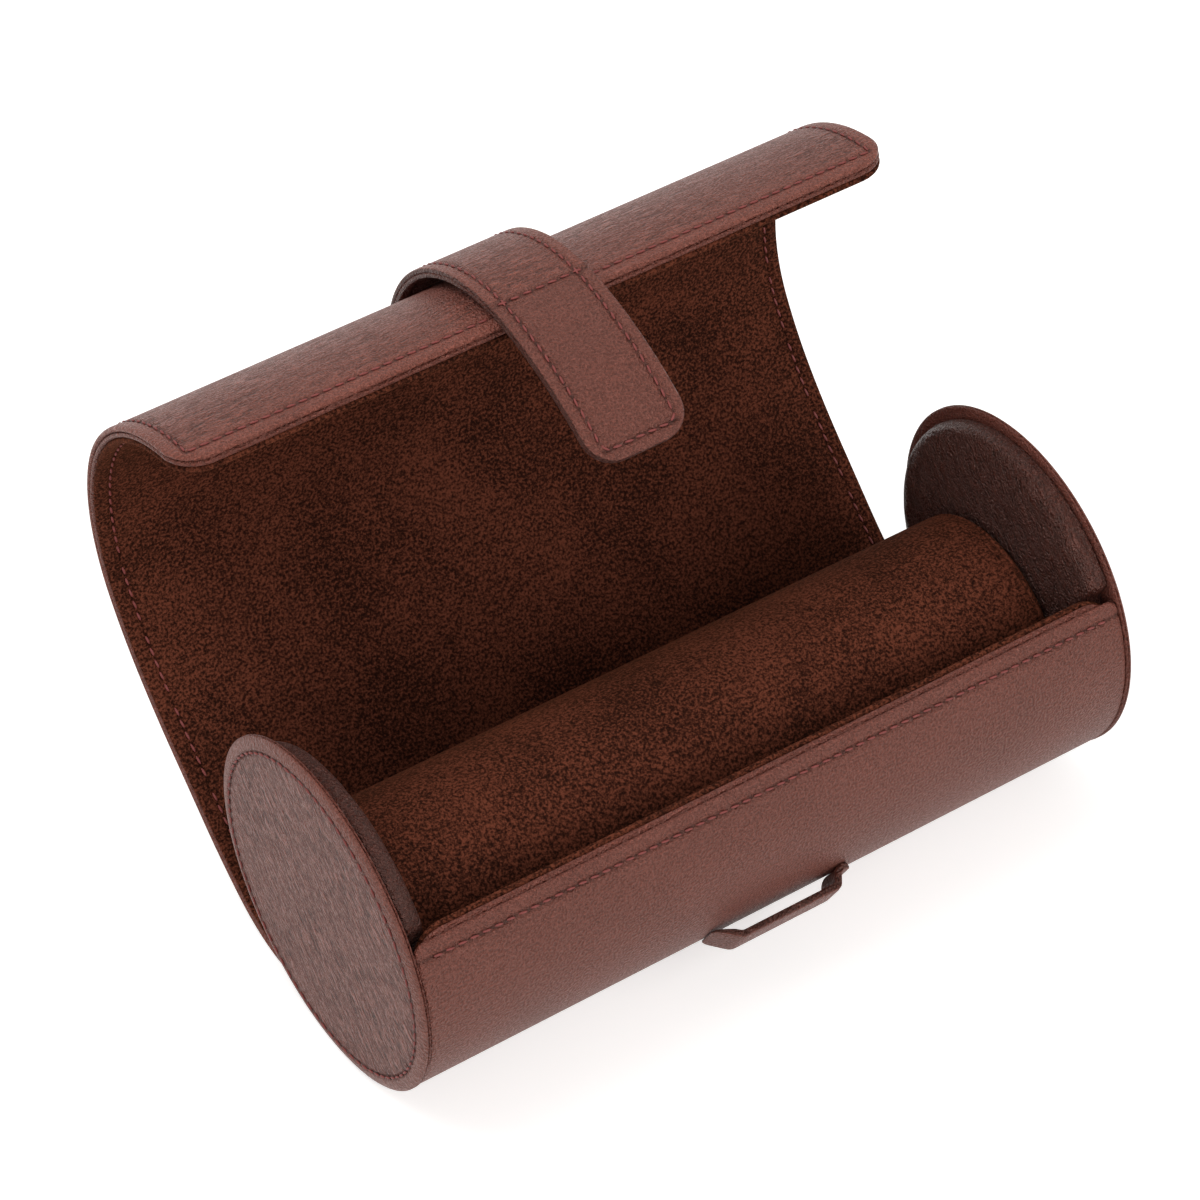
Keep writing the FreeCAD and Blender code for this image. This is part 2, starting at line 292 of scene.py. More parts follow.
def edit_all():
    """Edit mode with everything selected."""
    bpy.ops.object.mode_set(mode="EDIT")
    bpy.ops.mesh.select_all(action="SELECT")


def start_edit(name):
    """Names the new primitive and opens it in edit mode."""
    obj = bpy.context.object
    obj.name = name
    edit_all()
    return obj


def places(obj):
    """Vertex places as an array."""
    flat = np.empty(len(obj.data.vertices) * 3)
    obj.data.vertices.foreach_get("co", flat)
    return flat.reshape(-1, 3)


def put(obj, spots):
    """Moves the vertices to an array of places."""
    obj.data.vertices.foreach_set("co", np.ascontiguousarray(spots, float).ravel())
    obj.data.update()


def remember_flat(obj):
    """Keeps the flat pattern's own coordinates, in metres, for the grain to follow."""
    attribute = obj.data.attributes.new("flat", "FLOAT_VECTOR", "POINT")
    attribute.data.foreach_set("vector", (places(obj) * MM).astype(np.float32).ravel())


def mark(obj, groove, margin):
    """Keeps, for the finish, how near each point is to a seam, where the finishes paint shade into the
    groove, and if it lies in the margin outside it.
    """
    for name, values in (("groove", groove), ("margin", margin)):
        attribute = obj.data.attributes.new(name, "FLOAT", "POINT")
        attribute.data.foreach_set("value", np.asarray(values, np.float32))


def cut(axis, value, clear=None):
    """In edit mode, cuts across all of the mesh; clear is the side, -1 or 1, that is taken away."""
    normal = [0.0, 0.0, 0.0]
    normal[axis] = 1.0
    spot = [0.0, 0.0, 0.0]
    spot[axis] = value
    bpy.ops.mesh.select_all(action="SELECT")
    bpy.ops.mesh.bisect(plane_co=spot, plane_no=normal, clear_outer=clear == 1, clear_inner=clear == -1)


def edge_distance(u, s, half, middle, half_length, corner):
    """How far points lie inside a rectangle with round corners."""
    across = np.abs(u) - half + corner
    along = np.abs(s - middle) - half_length + corner
    outside = np.hypot(np.maximum(across, 0), np.maximum(along, 0))
    return corner - outside - np.minimum(np.maximum(across, along), 0)


def seam_distance(u, s, seam):
    """How far points lie from a straight seam."""
    (u0, s0), (u1, s1) = seam
    length = (u1 - u0) ** 2 + (s1 - s0) ** 2
    t = np.clip(((u - u0) * (u1 - u0) + (s - s0) * (s1 - s0)) / length, 0, 1)
    return np.hypot(u - u0 - t * (u1 - u0), s - s0 - t * (s1 - s0))


def flat_sheet(name, low, high, half, thickness, corner=2.0, open_ends=(False, False), seams=(),
               sunk=(0.0, 0.0), step=1.0, rounding=EDGE_ROUND, painted=False):
    """A sheet in its flat pattern: X across, Y along, outer face at Z = 0, with a domed edge.

    An open end is cut square, to meet the next piece. The seams lie in grooves, and sunk gives their depths
    on the outer and inner face. The grooves are marked for painted shade, so that they come out darker, and a
    painted edge is marked like a seam, so that its own dark paint shows.
    """
    start = low - CUT_SPARE if open_ends[0] else low
    finish = high + CUT_SPARE if open_ends[1] else high
    middle = (start + finish) / 2
    half_length = (finish - start) / 2
    clear_selection()
    bpy.ops.mesh.primitive_plane_add(size=1)
    obj = start_edit(name)
    bpy.ops.transform.resize(value=(2 * half, 2 * half_length, 1))
    bpy.ops.transform.translate(value=(0, middle, 0))
    bpy.ops.mesh.bevel(offset=corner, affect="VERTICES", segments=CORNER_SEGMENTS, clamp_overlap=False)
    bpy.ops.mesh.select_mode(type="FACE")
    bpy.ops.mesh.select_all(action="SELECT")
    for ring in EDGE_RINGS:
        bpy.ops.mesh.inset(thickness=ring)
    if open_ends[0]:
        cut(1, low, -1)
    if open_ends[1]:
        cut(1, high, 1)
    count = max(2, round((high - low) / step) + 1)
    across, along = set(), set(np.linspace(low, high, count)[1:-1])
    for (u0, s0), (u1, s1) in seams:
        for line in GROOVE_LINES:
            (across if u0 == u1 else along).add((u0 if u0 == u1 else s0) + line)
    for value in sorted(across):
        cut(0, value)
    for value in sorted(along):
        cut(1, value)
    bpy.ops.object.mode_set(mode="OBJECT")
    apply(obj, "SOLIDIFY", thickness=thickness, offset=-1)
    spots = places(obj)
    u, s, top = spots[:, 0], spots[:, 1], spots[:, 2] > -thickness / 2
    inside = edge_distance(u, s, half, middle, half_length, corner)
    lean = np.clip(1 - inside / rounding, 0, 1)
    drop = (thickness / 2 - EDGE_RIM) * (1 - np.sqrt(1 - lean ** 2)) * rounding / EDGE_ROUND
    groove = np.zeros(len(spots))
    for seam in seams:
        groove = np.maximum(groove, np.exp(-(seam_distance(u, s, seam) / GROOVE_WIDTH) ** 2))
    spots[:, 2] += np.where(top, -drop - sunk[0] * groove, drop + sunk[1] * groove)
    put(obj, spots)
    # The grooves are marked for painted shade; a painted edge gets the same mark for its own dark paint
    if painted:
        groove = np.maximum(groove, inside < EDGE_RINGS[0] / 2)
    mark(obj, groove, inside < MARGIN if seams else np.zeros(len(spots)))
    return obj


def finish_skin(obj, material):
    """Smooth shading and one material."""
    take(obj)
    bpy.ops.object.shade_smooth_by_angle(angle=math.radians(SMOOTH_ANGLE))
    obj.data.materials.clear()
    obj.data.materials.append(material)
    return obj


def wrap(obj, path, depth=0.0):
    """Lays a flat pattern along a path, its outer face at a depth below the path."""
    remember_flat(obj)
    spots = places(obj)
    bent = path.at(spots[:, 1], depth - spots[:, 2])
    put(obj, np.column_stack((-spots[:, 0], bent)) * MM)
    return obj


def joined(name, parts):
    """Several meshes as one object."""
    clear_selection()
    for part in parts:
        part.select_set(True)
    bpy.context.view_layer.objects.active = parts[0]
    if len(parts) > 1:
        bpy.ops.object.join()
    parts[0].name = name
    return parts[0]


class Sewing:
    """The case's thread in its flat patterns."""

    def __init__(self, sizes):
        self.pitch = sizes.stitch_pitch / MM
        self.inset = sizes.stitch_inset / MM
        self.length = sizes.thread_length / MM
        self.width = sizes.thread_width / MM
        self.groove = sizes.groove_depth / MM

    def sunk(self, layer):
        """Depths of a layer's grooves on its outer and inner face."""
        return (self.groove if layer == "outer" else 0.0, self.groove if layer == "inner" else 0.0)

    def row(self, name, points, height):
        """Stitches along a line: one is modelled, copied along it at a fitted pitch and bent to follow it."""
        points = np.array(points, float)
        run = np.hypot(*np.diff(points, axis=0).T).sum()
        count = max(1, round(run / self.pitch))
        clear_selection()
        bpy.ops.mesh.primitive_uv_sphere_add(segments=8, ring_count=6, radius=0.5)
        obj = start_edit(name)
        bpy.ops.transform.rotate(value=math.pi / 2, orient_axis="Y", center_override=(0, 0, 0))
        size = (self.length, self.width, self.width * THREAD_FLATNESS)
        bpy.ops.transform.resize(value=size, center_override=(0, 0, 0))
        bpy.ops.transform.rotate(value=math.radians(STITCH_SLANT), orient_axis="Z", center_override=(0, 0, 0))
        bpy.ops.transform.translate(value=(run / count / 2, 0, height))
        bpy.ops.object.mode_set(mode="OBJECT")
        curve = bpy.data.curves.new(name + "_line", "CURVE")
        curve.dimensions = "2D"
        spline = curve.splines.new("POLY")
        spline.points.add(len(points) - 1)
        for spot, (x, y) in zip(spline.points, points):
            spot.co = (x, y, 0, 1)
        line = bpy.data.objects.new(name + "_line", curve)
        bpy.context.scene.collection.objects.link(line)
        apply(obj, "ARRAY", count=count, use_relative_offset=False, use_constant_offset=True,
              constant_offset_displace=(run / count, 0, 0))
        apply(obj, "CURVE", object=line, deform_axis="POS_X")
        bpy.data.objects.remove(line)
        return obj

    def rows(self, name, lines, outer, inner=None):
        """Stitches along several lines, sunk in the outer face and in the inner one where it has a height."""
        heights = [outer - THREAD_SINK]
        if inner is not None:
            heights.append(inner + THREAD_SINK)
        parts = []
        for height in heights:
            for line in lines:
                parts.append(self.row("%s_%d" % (name, len(parts)), line, height))
        return joined(name, parts)


def drum(name, profile, segments):
    """A round body about Z, drawn ring by ring from radius and height pairs, with its ends closed."""
    clear_selection()
    radius, height = profile[0]
    bpy.ops.mesh.primitive_circle_add(vertices=segments, radius=radius, fill_type="NGON", location=(0, 0, 0))
    obj = start_edit(name)
    bpy.ops.transform.translate(value=(0, 0, height))
    for next_radius, next_height in profile[1:]:
        bpy.ops.mesh.extrude_region_move(TRANSFORM_OT_translate={"value": (0, 0, next_height - height)})
        ratio = next_radius / radius
        bpy.ops.transform.resize(value=(ratio, ratio, 1), center_override=(0, 0, next_height))
        radius, height = next_radius, next_height
    mesh = bmesh.from_edit_mesh(obj.data)
    for face in mesh.faces:
        face.select_set(len(face.verts) > 4)
    bmesh.update_edit_mesh(obj.data)
    bpy.ops.mesh.poke()
    bpy.ops.mesh.select_all(action="SELECT")
    bpy.ops.mesh.normals_make_consistent(inside=False)
    bpy.ops.object.mode_set(mode="OBJECT")
    return obj


def stand(obj, x, y, z, way):
    """Turns a round body's axis to +X or -X and puts it at a place in the case."""
    remember_flat(obj)
    spots = places(obj)
    put(obj, np.column_stack((x + way * spots[:, 2], y + way * spots[:, 0], z + spots[:, 1])) * MM)
    return obj


FILL_PRESSURE = 4.0
FILL_FRAMES = 20


def swell(obj, pins, most):
    """Fills a padded piece by cloth pressure, its sewn points held and no point moved further than a cap."""
    rest = places(obj)
    held = obj.vertex_groups.new(name="sewn")
    held.add([int(i) for i in np.nonzero(pins)[0]], 1.0, "REPLACE")
    take(obj)
    cloth = obj.modifiers.new("Fill", "CLOTH")
    cloth.settings.use_pressure = True
    cloth.settings.uniform_pressure_force = FILL_PRESSURE
    cloth.settings.effector_weights.gravity = 0
    cloth.settings.vertex_group_mass = "sewn"
    for step in range(1, FILL_FRAMES + 1):
        bpy.context.scene.frame_set(step)
    bpy.ops.object.modifier_apply(modifier=cloth.name)
    bpy.context.scene.frame_set(1)
    moved = places(obj) - rest
    reach = np.maximum(np.linalg.norm(moved, axis=1), 1e-9)
    put(obj, rest + moved * np.minimum(1.0, most * MM / reach)[:, None])


def add(tree, kind, inputs=None, **settings):
    """Adds a shader node, with its settings, and fills or links its inputs."""
    made = tree.nodes.new("ShaderNode" + kind)
    for key, value in settings.items():
        setattr(made, key, value)
    for key, value in (inputs or {}).items():
        if isinstance(value, bpy.types.NodeSocket):
            tree.links.new(value, made.inputs[key])
        else:
            made.inputs[key].default_value = value
    return made


def new_material(name):
    """An empty node material with its output."""
    material = bpy.data.materials.new(name)
    material.use_nodes = True
    material.node_tree.nodes.clear()
    return material, material.node_tree


# Sizes of the finishes' patterns in millimetres, and the scale that draws the wrinkles out along one way
PORE_SIZE = 0.6
WRINKLE_SIZE = 0.9
WRINKLE_SCALE = (0.24, 1.0, 1.0)
LEATHER_PATCH = 22.0
NAP_SIZE = 0.65
SUEDE_PATCH = 24.0


def per_metre(mm):
    """Texture scale for a detail of a size in millimetres."""
    return 1.0 / (mm * MM)


def shade(colour, share):
    """A colour made lighter or darker by a share of its light."""
    return [min(1.0, c * share) for c in colour[:3]] + [1.0]


def spread(tree, value, reach):
    """A noise value, which mostly lies between 0.3 and 0.7, stretched to run from -reach to reach."""
    return add(tree, "MapRange", {"Value": value, "From Min": 0.3, "From Max": 0.7, "To Min": -reach,
                                  "To Max": reach}).outputs["Result"]


def toned(tree, level, colour, dark, light):
    """The colour by a level: dark at 0, the colour itself at 0.5 and light at 1."""
    ramp = add(tree, "ValToRGB", {"Fac": level})
    ramp.color_ramp.elements[0].color = shade(colour, dark)
    ramp.color_ramp.elements[1].color = shade(colour, light)
    ramp.color_ramp.elements.new(0.5).color = colour
    return ramp.outputs["Color"]


def leather_material(name, colour, turn=0.0, wrinkle=0.2, grain=0.45, gloss=0.42):
    """Corrected-grain calf: a fine grain under a satin finish, stretched into short wrinkles along one way.

    The finish gives a broad pale sheen to the light. The wrinkles' creases and the seams' grooves are painted
    darker and redder, as painted shade, and the wrinkles' ridges lighter, as painted highlight.
    The grain is drawn at PORE_SIZE, coarser than the real one, so that it shows.
    """
    material, tree = new_material(name)
    flat = add(tree, "Attribute", attribute_name="flat").outputs["Vector"]
    seam = add(tree, "Attribute", attribute_name="groove").outputs["Fac"]
    margin = add(tree, "Attribute", attribute_name="margin").outputs["Fac"]
    turned = add(tree, "Mapping", {"Vector": flat, "Rotation": (0, 0, math.radians(turn))}).outputs["Vector"]
    long_way = add(tree, "Mapping", {"Vector": turned, "Scale": WRINKLE_SCALE}).outputs["Vector"]
    pore = add(tree, "TexNoise", {"Vector": flat, "Scale": per_metre(PORE_SIZE), "Detail": 1.0,
                                  "Roughness": 0.6}).outputs["Fac"]
    fold = add(tree, "TexNoise", {"Vector": long_way, "Scale": per_metre(WRINKLE_SIZE), "Detail": 2.0,
                                  "Roughness": 0.6, "Distortion": 1.2}).outputs["Fac"]
    patch = add(tree, "TexNoise", {"Vector": flat, "Scale": per_metre(LEATHER_PATCH),
                                   "Detail": 2.0}).outputs["Fac"]
    where = add(tree, "MapRange", {"Value": patch, "From Min": 0.35, "From Max": 0.65, "To Min": 0.5,
                                   "To Max": 1.15}).outputs["Result"]
    calm = add(tree, "Math", {0: margin, 1: -0.8, 2: where}, operation="MULTIPLY_ADD").outputs["Value"]
    pores = add(tree, "Math", {0: spread(tree, pore, grain), 1: 0.5}, operation="ADD").outputs["Value"]
    relief = add(tree, "Math", {0: spread(tree, fold, wrinkle), 1: calm, 2: pores},
                 operation="MULTIPLY_ADD").outputs["Value"]
    # Painted shade and highlight: the wrinkles darken the colour in their creases and lighten it on their
    # ridges, along with the grain's own tone and the patches' mottle
    grain_and_painted_wrinkle_shade = add(tree, "Math", {0: relief, 1: 0.5, 2: 0.25}, operation="MULTIPLY_ADD").outputs["Value"]
    mottle_grain_and_painted_wrinkle_shade = add(tree, "Math", {0: spread(tree, patch, 0.05), 1: grain_and_painted_wrinkle_shade}, operation="ADD").outputs["Value"]
    # Painted shade: darker along the seams' grooves, with a painted edge darkened the same way for its own
    # dark paint
    level = add(tree, "Math", {0: seam, 1: -0.4, 2: mottle_grain_and_painted_wrinkle_shade}, operation="MULTIPLY_ADD").outputs["Value"]
    rough = add(tree, "MapRange", {"Value": relief, "From Min": 0.2, "From Max": 0.8, "To Min": gloss + 0.12,
                                   "To Max": gloss - 0.06}).outputs["Result"]
    bump = add(tree, "Bump", {"Height": relief, "Strength": 1.0, "Distance": 0.0006}).outputs["Normal"]
    surface = add(tree, "BsdfPrincipled", {
        "Base Color": toned(tree, level, colour, 0.3, 1.8), "Roughness": rough, "Normal": bump,
        "IOR": 1.46, "Specular Tint": linear("#ffe2d8")})
    add(tree, "OutputMaterial", {"Surface": surface.outputs["BSDF"]})
    return material


def suede_material(name, colour):
    """Brushed suede: no gloss, a short nap that catches light at the edges, rubbed patches and a speckle.

    The speckle is drawn at NAP_SIZE, coarser than the real nap, so that it shows.
    """
    material, tree = new_material(name)
    flat = add(tree, "Attribute", attribute_name="flat").outputs["Vector"]
    seam = add(tree, "Attribute", attribute_name="groove").outputs["Fac"]
    nap = add(tree, "TexNoise", {"Vector": flat, "Scale": per_metre(NAP_SIZE), "Detail": 2.0,
                                 "Roughness": 0.7}).outputs["Fac"]
    rubbed = add(tree, "TexNoise", {"Vector": flat, "Scale": per_metre(SUEDE_PATCH), "Detail": 3.0,
                                    "Distortion": 0.4}).outputs["Fac"]
    naps = add(tree, "Math", {0: spread(tree, nap, 0.8), 1: 0.5}, operation="ADD").outputs["Value"]
    patches = add(tree, "Math", {0: spread(tree, rubbed, 0.18), 1: naps}, operation="ADD").outputs["Value"]
    # Painted shade: the suede is darker along the seams' grooves
    level = add(tree, "Math", {0: seam, 1: -0.25, 2: patches}, operation="MULTIPLY_ADD").outputs["Value"]
    fur = add(tree, "Bump", {"Height": nap, "Strength": 0.7, "Distance": 0.0005}).outputs["Normal"]
    surface = add(tree, "BsdfPrincipled", {
        "Base Color": toned(tree, level, colour, 0.25, 2.3), "Roughness": 0.95, "Normal": fur,
        "Specular IOR Level": 0.05, "Sheen Weight": 0.14, "Sheen Roughness": 0.5,
        "Sheen Tint": linear("#a8663c")})
    add(tree, "OutputMaterial", {"Surface": surface.outputs["BSDF"]})
    return material


def plain_material(name, colour, roughness, grain, depth):
    """A finish with one fine grain: sewing thread, greyboard or foam, by its colour and grain size in mm."""
    material, tree = new_material(name)
    spot = add(tree, "TexCoord").outputs["Object"]
    speck = add(tree, "TexNoise", {"Vector": spot, "Scale": per_metre(grain), "Detail": 3.0}).outputs["Fac"]
    tone = add(tree, "ValToRGB", {"Fac": speck})
    tone.color_ramp.elements[0].position = 0.3
    tone.color_ramp.elements[0].color = shade(colour, 0.75)
    tone.color_ramp.elements[1].position = 0.7
    tone.color_ramp.elements[1].color = shade(colour, 1.25)
    bump = add(tree, "Bump", {"Height": speck, "Strength": 0.5, "Distance": depth * MM}).outputs["Normal"]
    surface = add(tree, "BsdfPrincipled", {"Base Color": tone.outputs["Color"], "Roughness": roughness,
                                           "Normal": bump})
    add(tree, "OutputMaterial", {"Surface": surface.outputs["BSDF"]})
    return material


# Share of the leather's colour, and the settings, of each leather finish. The shares are lit and shaded
# copies of one leather: the pad's small share is painted shade for the inside of the ends, and the creased
# share, larger than the wall's, is painted light on the lid, back and strap arch.
LEATHERS = {
    "calf_leather": (0.75, {}),
    "calf_leather_creased": (0.95, {"wrinkle": 0.75}),
    "calf_leather_round": (0.76, {"turn": 48.0, "wrinkle": 1.1, "grain": 0.35}),
    "calf_leather_pad_painted_shade": (0.32, {"turn": 48.0, "wrinkle": 0.8, "gloss": 0.36}),
}

# Roughness of each plain finish, and the size and depth of its grain in millimetres
PLAINS = {"waxed_thread": (0.6, 0.25, 0.1), "greyboard": (0.9, 0.6, 0.1), "grey_foam": (0.95, 0.8, 0.3)}


def finish(kind):
    """The case's finish of that kind, made when it is first asked for."""
    colours = bpy.context.scene.watch_case_colours
    if kind in bpy.data.materials:
        return bpy.data.materials[kind]
    if kind in LEATHERS:
        share, settings = LEATHERS[kind]
        return leather_material(kind, shade(list(colours.leather), share), **settings)
    if kind == "brushed_suede":
        return suede_material(kind, list(colours.suede))
    plain = {"waxed_thread": list(colours.thread), "greyboard": linear("#8c7a66"),
             "grey_foam": linear("#55524f")}
    return plain_material(kind, plain[kind], *PLAINS[kind])


def settle(obj, material, slot, body, replaced=(), end_body=None, start=None, end=None):
    """Finishes a piece, hides the CAD parts it replaces, and lets it ride on a body, or, given an end body,
    bakes its place into its mesh.
    """
    finish_skin(obj, finish(material))
    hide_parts(*replaced)
    if end_body is None:
        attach(obj, body)
    else:
        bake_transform(obj)
    return obj


# The outer leather of the lid and back is the lighter copy of the leather, with painted light
LAYER_FINISH = {"outer": ("calf_leather_creased", "leather"), "welt": ("calf_leather", "leather"),
                "inner": ("brushed_suede", "suede")}

# Room between the wall's sides and the discs, and how far from them the lip's thread stops
WALL_ROOM = 0.05
LIP_THREAD_STOP = 3.5


class WallOperator(bpy.types.Operator):
    """The fixed wall: leather, welt, lip facing, suede and the row of stitches along the lip"""

    bl_idname = "watch_case.wall"
    bl_label = "Fixed wall"

    def execute(self, context):
        sew = Sewing(context.scene.watch_case_sizes)
        half = WALL_HALF - WALL_ROOM
        lip = [((-WALL_HALF, sew.inset), (WALL_HALF, sew.inset))]
        sewn_half = WALL_HALF - LIP_THREAD_STOP
        sewn = [((-sewn_half, sew.inset), (sewn_half, sew.inset))]
        nodes = {"outer": "body_leather", "welt": "body_board", "inner": "lip_facing"}
        for name, depth, thickness, _ in LAYERS:
            high = FACING_WIDTH if name == "inner" else UNDER
            seams = [] if name == "welt" else lip
            obj = flat_sheet("wall_" + name, -LIP_STEP[name], high, half, thickness, LIP_CORNER[name],
                             (False, True), seams, sew.sunk(name))
            # The wall takes the plain copy of the leather, darker than the lid's copy with painted light
            kind = LAYER_FINISH[name] if name == "inner" else ("calf_leather", "leather")
            settle(wrap(obj, PROFILE, depth), *kind, "case", [nodes[name]])
        depth, thickness = LAYERS[-1][1:3]
        obj = flat_sheet("wall_lining", FACING_WIDTH, UNDER, half, thickness, open_ends=(True, True))
        settle(wrap(obj, PROFILE, depth), "brushed_suede", "suede", "case", ["body_lining"])
        thread = wrap(sew.rows("wall_thread", sewn, 0.0, -SHEET), PROFILE)
        settle(thread, "waxed_thread", "leather", "case")
        return {"FINISHED"}


def side_rows(low, high, half, sew):
    """Seams along both sides between two lengths, in whole stitches counted from the lid's edge."""
    edge = PROFILE.length - sew.inset
    first = edge - math.floor((edge - low) / sew.pitch) * sew.pitch
    last = edge - math.ceil((edge - high) / sew.pitch - 1e-6) * sew.pitch
    return [((side * (half - sew.inset), first), (side * (half - sew.inset), last)) for side in (-1, 1)]


# How far to each side of a hinge the given ends of each piece's bend lie, the hinges' depth in the sheet, and
# the mesh's step
BEND_REACH = 8.5
UNDER_REACH = 4.5
HINGE_DEPTH = 0.6
BEND_STEP = 0.9


class BackOperator(bpy.types.Operator):
    """The bending back: seven lengths of the sheet, each of which spans one hinge"""

    bl_idname = "watch_case.back"
    bl_label = "Bending back"

    def execute(self, context):
        sew = Sewing(context.scene.watch_case_sizes)
        node_names = {"outer": "leather", "welt": "padding", "inner": "lining"}
        for k, bend in enumerate(BENDS):
            low = UNDER if k == 0 else bend - STRIP_LENGTH / 2
            high = bend + STRIP_LENGTH / 2
            before = UNDER_REACH if k == 0 else BEND_REACH
            ends = {"end_body": CHAIN[k + 1], "start": PROFILE.point(bend - before, HINGE_DEPTH),
                    "end": PROFILE.point(bend + BEND_REACH, HINGE_DEPTH)}
            rows = side_rows(low, high, LID_HALF, sew)
            grooves = [((u0, low - GROOVE_OVERRUN), (u1, high + GROOVE_OVERRUN)) for (u0, _), (u1, _) in rows]
            for name, depth, thickness, inset in LAYERS:
                seams = [] if name == "welt" else grooves
                obj = flat_sheet("bend_%d_%s" % (k, name), low, high, LID_HALF - inset, thickness,
                                 open_ends=(True, True), seams=seams, sunk=sew.sunk(name), step=BEND_STEP)
                replaced = [] if k == 0 else ["flap_%d_%s" % (k, node_names[name])]
                settle(wrap(obj, PROFILE, depth), *LAYER_FINISH[name], CHAIN[k], replaced, **ends)
            thread = wrap(sew.rows("bend_%d_thread" % k, rows, 0.0, -SHEET), PROFILE)
            settle(thread, "waxed_thread", "leather", CHAIN[k], **ends)
        return {"FINISHED"}


# Room between the strap's sides and the thread along the lid's front edge
STRAP_ROOM = 0.4


class LidOperator(bpy.types.Operator):
    """The stiff lid: leather with round corners, welt, suede and rows of stitches that meet in corners"""

    bl_idname = "watch_case.lid"
    bl_label = "Lid"

    def execute(self, context):
        sew = Sewing(context.scene.watch_case_sizes)
        low = LID_START + STRIP_LENGTH / 2
        high = PROFILE.length
        edge = high - sew.inset
        half = LID_HALF - sew.inset
        sides = side_rows(low, high, LID_HALF, sew)
        front = [((-half, edge), (half, edge))]
        grooves = [((u0, low - GROOVE_OVERRUN), (u1, edge)) for (u0, _), (u1, _) in sides] + front
        nodes = {"outer": "lid_leather", "welt": "lid_board", "inner": "lid_lining"}
        for name, depth, thickness, inset in LAYERS:
            seams = [] if name == "welt" else grooves
            obj = flat_sheet("lid_" + name, low, high + LID_STEP[name], LID_HALF - inset, thickness,
                             LID_CORNER, (True, False), seams, sew.sunk(name))
            settle(wrap(obj, PROFILE, depth), *LAYER_FINISH[name], "lid", [nodes[name]])
        strap = STRAP_WIDTH / 2 + STRAP_ROOM
        parts = [((-half, edge), (-strap, edge)), ((strap, edge), (half, edge))]
        rows = [(first, (u1, edge)) for first, (u1, _) in sides] + parts
        thread = wrap(sew.rows("lid_thread", rows, 0.0, -SHEET), PROFILE)
        settle(thread, "waxed_thread", "leather", "lid")
        return {"FINISHED"}


def tip_line(low, high, half, corner):
    """A line up one side of the tongue, round its tip and down the other side."""
    points = [(-half, low)]
    for middle, first in ((-half + corner, 180), (half - corner, 90)):
        for step in range(CORNER_SEGMENTS + 1):
            angle = math.radians(first - step * 90 / CORNER_SEGMENTS)
            points.append((middle + corner * math.cos(angle), high - corner + corner * math.sin(angle)))
    return points + [(half, low)]


# The strap's seams and corners
STRAP_INSET = 3.0
STRAP_CORNER = 2.5
TIP_SEAM_CORNER = 2.2
TIP_GROOVE_STOP = 2.0
CROSS_THREAD_STOP = 1.2
TIP_THREAD_SINK = 0.2
STRAP_STEP = 0.8

# How far the strap's root reaches to each side of its hinge, and where the given ends of the tongue's and
# tip's bends lie
ROOT_BEFORE = 5.0
ROOT_AFTER = 6.0
ROOT_EASE = 0.5
TIP_BEND = 12.0


class StrapOperator(bpy.types.Operator):
    """The strap: two leathers from the sewn tab over the lid to the rounded tip, with painted edges"""

    bl_idname = "watch_case.strap"
    bl_label = "Strap and tongue"

    def execute(self, context):
        sew = Sewing(context.scene.watch_case_sizes)
        half = STRAP_WIDTH / 2
        line = half - STRAP_INSET
        before, after = STRAP_HINGE - ROOT_BEFORE, STRAP_HINGE + ROOT_AFTER
        lengths = {"strap": (0.0, before), "tongue": (before, after), "tip": (after, STRAP.length)}
        bodies = {"strap": ("lid", {}),
                  "tongue": ("lid", {"end_body": "tongue", "start": STRAP.point(before + ROOT_EASE),
                                     "end": STRAP.point(after - ROOT_EASE)}),
                  "tip": ("tongue", {"end_body": "tip", "start": STRAP.point(after + ROOT_EASE),
                                     "end": STRAP.point(after + TIP_BEND)})}
        cross = STRAP_HINGE - sew.inset
        for part, (low, high) in lengths.items():
            open_ends = (part != "strap", part != "tip")
            end = high - STRAP_INSET
            first = STRAP_INSET if part == "strap" else low - GROOVE_OVERRUN
            last = end - TIP_GROOVE_STOP if part == "tip" else high + GROOVE_OVERRUN
            reach, spot = {"strap": (line, STRAP_INSET), "tongue": (half, cross), "tip": (line, end)}[part]
            grooves = [((side * line, first), (side * line, last)) for side in (-1, 1)]
            grooves.append(((-reach, spot), (reach, spot)))
            corner = TONGUE_CORNER if part == "tip" else STRAP_CORNER
            # The strap arch takes the lighter copy of the leather, with painted light, like the lid
            kind = "calf_leather_creased" if part == "strap" else "calf_leather"
            body, ends = bodies[part]
            for layer, depth in (("top", 0.0), ("back", STRAP_LEATHER)):
                sunk = sew.sunk("outer" if layer == "top" else "inner")
                obj = flat_sheet("%s_%s_leather" % (part, layer), low, high, half, STRAP_LEATHER, corner,
                                 open_ends, grooves, sunk, STRAP_STEP, STRAP_ROUND, True)
                settle(wrap(obj, STRAP, depth), kind, "leather", body, ["%s_%s" % (part, layer)], **ends)
            if part == "tip":
                rows = [tip_line(low, end, line, TIP_SEAM_CORNER)]
            else:
                rows = [((side * line, max(low, STRAP_INSET)), (side * line, high)) for side in (-1, 1)]
                stop = line if part == "strap" else half - CROSS_THREAD_STOP
                rows.append(((-stop, spot), (stop, spot)))
            inner = TIP_THREAD_SINK - 2 * STRAP_LEATHER if part == "tip" else None
            thread = wrap(sew.rows(part + "_thread", rows, 0.0, inner), STRAP)
            settle(thread, "waxed_thread", "leather", body, **ends)
        return {"FINISHED"}


